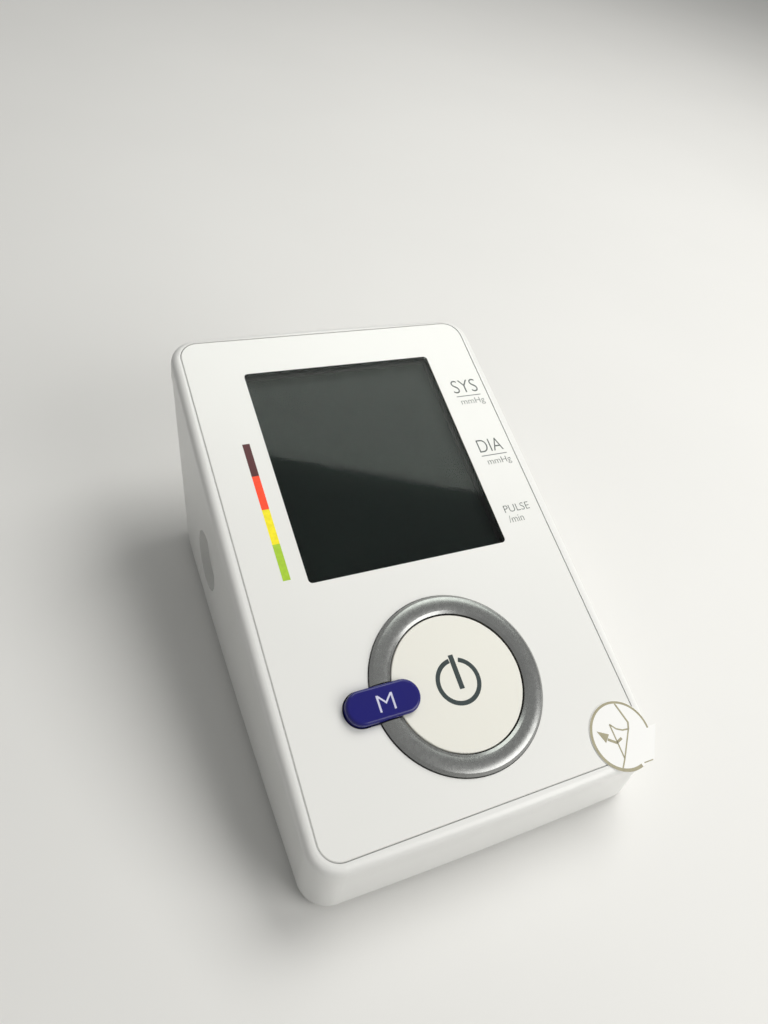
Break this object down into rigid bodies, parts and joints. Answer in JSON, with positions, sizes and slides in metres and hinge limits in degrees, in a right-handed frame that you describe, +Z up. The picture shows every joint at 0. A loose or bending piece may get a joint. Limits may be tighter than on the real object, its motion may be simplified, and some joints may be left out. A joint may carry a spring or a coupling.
{
  "type": "upper arm blood pressure monitor",
  "caption": "Wedge-shaped desk blood pressure monitor with a leaning display, a ringed round power key, a memory key, an air hose socket and a battery bay.",
  "frame": {"origin": "on the table, under the middle of the face, between the feet", "axes": "+X to the right of someone who reads the display, +Y from the front edge to the back, +Z up"},
  "size_m": [0.1012, 0.1488, 0.0594],
  "materials": {
    "case_white": "glossy white",
    "panel_white": "smooth printed white",
    "window_clear": "clear, polished",
    "black_plastic": "matt black",
    "lcd_glass": "dark green-grey, polished",
    "grey_rubber": "matt",
    "ring_silver": "satin plated",
    "key_cream": "smooth cream",
    "key_navy": "glossy navy",
    "switch_plunger": "matt",
    "board_green": "solder mask",
    "screw_steel": "zinc plated",
    "cell_jacket": "printed jacket",
    "contact_metal": "nickel plated",
    "motor_steel": "plain",
    "magnet_grey": "sintered",
    "pump_plastic": "moulded",
    "socket_grey": "moulded",
    "tube_clear": "soft, milky",
    "sensor_body": "moulded",
    "film_white": "printed film"
  },
  "bodies": {
    "housing": {"top_case": "case_white", "bottom_case": "case_white", "face_panel": "panel_white", "display_window": "window_clear", "display_frame": "black_plastic", "display_glass": "lcd_glass", "display_connector_strips": "grey_rubber", "key_ring": "ring_silver", "power_switch": "black_plastic", "memory_switch": "black_plastic", "main_board": "board_green", "board_screws": "screw_steel", "board_chips": "black_plastic", "beeper": "black_plastic", "case_screws": "screw_steel", "rubber_feet": "grey_rubber", "battery_cells": "cell_jacket", "battery_contacts": "contact_metal", "battery_springs": "contact_metal", "motor_can": "motor_steel", "motor_magnets": "magnet_grey", "motor_damper": "grey_rubber", "pump_head": "pump_plastic", "air_socket": "socket_grey", "air_socket_gasket": "grey_rubber", "air_manifold": "pump_plastic", "coupling_tubes": "tube_clear", "valve_tube": "tube_clear", "sensor_tube": "tube_clear", "release_valve": "motor_steel", "valve_spring": "contact_metal", "pressure_sensor": "sensor_body", "dc_socket": "black_plastic", "film_pull_tab": "film_white"},
    "power_button": {"power_key": "key_cream", "power_switch_plunger": "switch_plunger"},
    "memory_button": {"memory_key": "key_navy", "memory_key_carrier": "key_navy", "memory_switch_plunger": "switch_plunger"},
    "battery_door": {"battery_cover": "case_white"},
    "pump_rotor": {"motor_rotor": "motor_steel", "pump_crank": "pump_plastic"},
    "valve_needle": {"valve_plunger": "motor_steel"}
  },
  "joints": [
    {"name": "power_press", "type": "slide", "parent": "housing", "child": "power_button", "axis": [0, 0.2521, -0.9677], "range_m": [0, 0.0005], "stiffness_N_per_m": 900},
    {"name": "memory_press", "type": "slide", "parent": "housing", "child": "memory_button", "axis": [0, 0.2521, -0.9677], "range_m": [0, 0.0005], "stiffness_N_per_m": 900},
    {"name": "battery_cover_hinge", "type": "hinge", "parent": "housing", "child": "battery_door", "pos_m": [0, -0.03813, 0.0021], "axis": [-1, 0, 0], "range_deg": [0, 75]},
    {"name": "pump_spin", "type": "hinge", "parent": "housing", "child": "pump_rotor", "pos_m": [0, 0.03797, 0.019], "axis": [1, 0, 0], "continuous": true},
    {"name": "valve_stroke", "type": "slide", "parent": "housing", "child": "valve_needle", "axis": [0, -1, 0], "range_m": [0, 0.0008], "stiffness_N_per_m": 200, "deforming": ["valve_spring"]}
  ]
}
